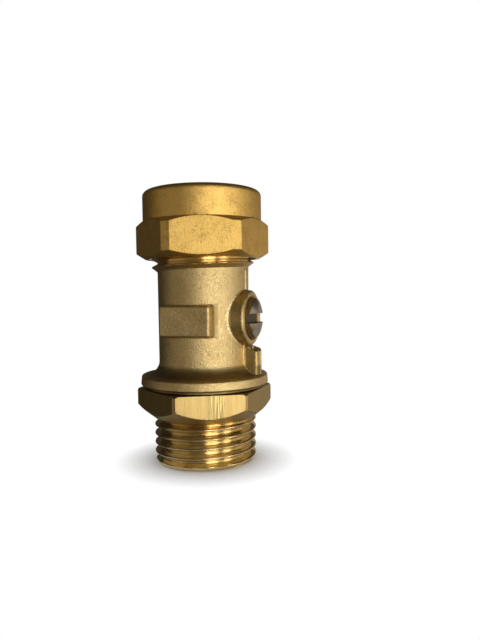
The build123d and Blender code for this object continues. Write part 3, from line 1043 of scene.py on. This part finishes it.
def circlePoints(radius, height, angles):
    return [(radius * math.cos(angle), radius * math.sin(angle), height) for angle in angles]


def seenRays(graph):                               # 1 where the background is seen, also in metal or glass
    rays = graph.add("ShaderNodeLightPath")
    seen = graph.wire(rays, "Is Camera Ray").atLeast(graph.wire(rays, "Is Glossy Ray"))
    return seen.atLeast(graph.wire(rays, "Is Transmission Ray"))


def floorFinish():
    material, graph, point = startFinish("paleFloor")
    look = stageLook
    x, y = graph.axes(point)[:2]
    fadeWidth = look["floorFadeEnd"] - look["floorFadeStart"]
    fade = ((ring(x, y) * millimetre - look["floorFadeStart"]) / fadeWidth).held()
    plain = graph.add("ShaderNodeBsdfDiffuse", None, {"Color": look["floorColour"]})
    glow = graph.add("ShaderNodeEmission", None,
                     {"Color": (1, 1, 1, 1), "Strength": seenRays(graph) * look["floorGlow"]})
    lit = graph.add("ShaderNodeAddShader", None, {0: graph.wire(plain), 1: graph.wire(glow)})
    clear = graph.add("ShaderNodeBsdfTransparent")
    mixed = graph.add("ShaderNodeMixShader", None, {0: fade, 1: graph.wire(lit), 2: graph.wire(clear)})
    graph.add("ShaderNodeOutputMaterial", None, {"Surface": graph.wire(mixed)})
    return material


def makeFloor():
    sides = stageLook["floorSides"]
    around = np.arange(sides) * 2 * math.pi / sides
    mesh = meshFrom("floor", circlePoints(stageLook["floorRadius"], 0.0, around), [tuple(range(sides))])
    mesh.materials.append(floorFinish())
    floor = addObject("floor", mesh)


def cardFinish(name, brightness):
    material = bpy.data.materials.new(name)
    graph = emptyTree(material)
    glow = graph.add("ShaderNodeEmission", None, {"Color": cardTint, "Strength": brightness})
    graph.add("ShaderNodeOutputMaterial", None, {"Surface": graph.wire(glow)})
    return material


def placeCard(name, points, faces, brightness):    # cards show only in the metal, as in a photographer's tent
    mesh = meshFrom(name, points, faces)
    mesh.materials.append(cardFinish(name, brightness))
    card = addObject(name, mesh)
    card.visible_camera = False
    card.visible_diffuse = False


def makeCards():
    distance = stageLook["cardDistance"]
    steps = stageLook["cardSteps"]
    for name, (first, last, low, high, brightness) in cards.items():
        angles = np.radians(np.linspace(first, last, steps + 1) + stageLook["facing"])
        points = circlePoints(distance, low, angles) + circlePoints(distance, high, angles)
        faces = [(k, k + 1, k + steps + 2, k + steps + 1) for k in range(steps)]
        placeCard(name, points, faces, brightness)
    around = np.arange(2 * steps) * math.pi / steps
    for name, card in (("lidCard", lidCard), ("groundCard", groundCard)):
        rim = circlePoints(card["radius"], card["height"], around)
        placeCard(name, rim, [tuple(range(2 * steps))], card["brightness"])


def makeLights():
    for name, (turn, width, watts) in panels.items():
        light = bpy.data.lights.new(name, "AREA")
        light.shape = "RECTANGLE"
        light.size = width
        light.size_y = panelPlace["tall"]
        light.energy = watts
        lamp = bpy.data.objects.new(name, light)
        bpy.context.scene.collection.objects.link(lamp)
        angle = math.radians(stageLook["facing"] + turn)
        distance = panelPlace["distance"]
        lamp.location = (distance * math.cos(angle), distance * math.sin(angle), panelPlace["height"])
        toValve = Vector((0, 0, stageLook["middleHeight"])) - lamp.location
        lamp.rotation_euler = toValve.to_track_quat("-Z", "Y").to_euler()


def makeSky():
    world = bpy.data.worlds.new("paleSky")
    graph = emptyTree(world)
    strength = seenRays(graph) * (1 - stageLook["skyLight"]) + stageLook["skyLight"]
    sky = graph.add("ShaderNodeBackground", None, {"Color": (1, 1, 1, 1), "Strength": strength})
    graph.add("ShaderNodeOutputWorld", None, {"Surface": graph.wire(sky)})
    bpy.context.scene.world = world


cameraFit = {
    "place": (0.04645, -0.10604, 0.03426),
    "round": 20.0,                                 # degrees round the valve from straight in front
    "down": 2.89,
    "roll": -0.82,
    "lens": 31.74,
}


def makeCamera():
    data = bpy.data.cameras.new("camera")
    data.sensor_fit = "AUTO"
    data.sensor_width = 36.0
    data.lens = cameraFit["lens"]
    data.clip_start, data.clip_end = 0.005, 10.0
    camera = bpy.data.objects.new("camera", data)
    bpy.context.scene.collection.objects.link(camera)
    turn, down, roll = (math.radians(cameraFit[key]) for key in ("round", "down", "roll"))
    ahead = Vector((-math.sin(turn) * math.cos(down), math.cos(turn) * math.cos(down), -math.sin(down)))
    aim = ahead.to_track_quat("-Z", "Y").to_matrix() @ Matrix.Rotation(roll, 3, "Z")
    camera.location = cameraFit["place"]
    camera.rotation_euler = aim.to_euler()
    bpy.context.scene.camera = camera


makeFloor()
makeCards()
makeLights()
makeSky()
makeCamera()
bpy.context.scene.view_settings.view_transform = "Standard"
print("stage: floor, cards, light, sky and camera placed")
